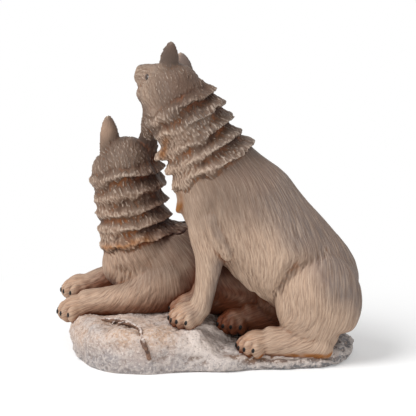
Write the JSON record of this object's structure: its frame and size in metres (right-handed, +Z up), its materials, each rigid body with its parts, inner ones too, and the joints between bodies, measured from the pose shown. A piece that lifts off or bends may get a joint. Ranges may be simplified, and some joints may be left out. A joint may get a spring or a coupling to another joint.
{
  "type": "wolf figurine",
  "caption": "Cast resin figurine of wolves with layered neck fur, one sitting and looking up over its shoulder, one lying beside it, on a snowy rock base.",
  "frame": {"origin": "in the flat underside of the rock base, near its middle", "axes": "+Z up; -X the way the wolves' bodies point; +Y the side that both faces turn to, so -Y is the side seen in the picture"},
  "size_m": [0.1154, 0.0686, 0.1217],
  "materials": {
    "painted_resin": "matt, stained with brown washes"
  },
  "bodies": {
    "root": {"wolf_figurine": "painted_resin"}
  },
  "joints": []
}
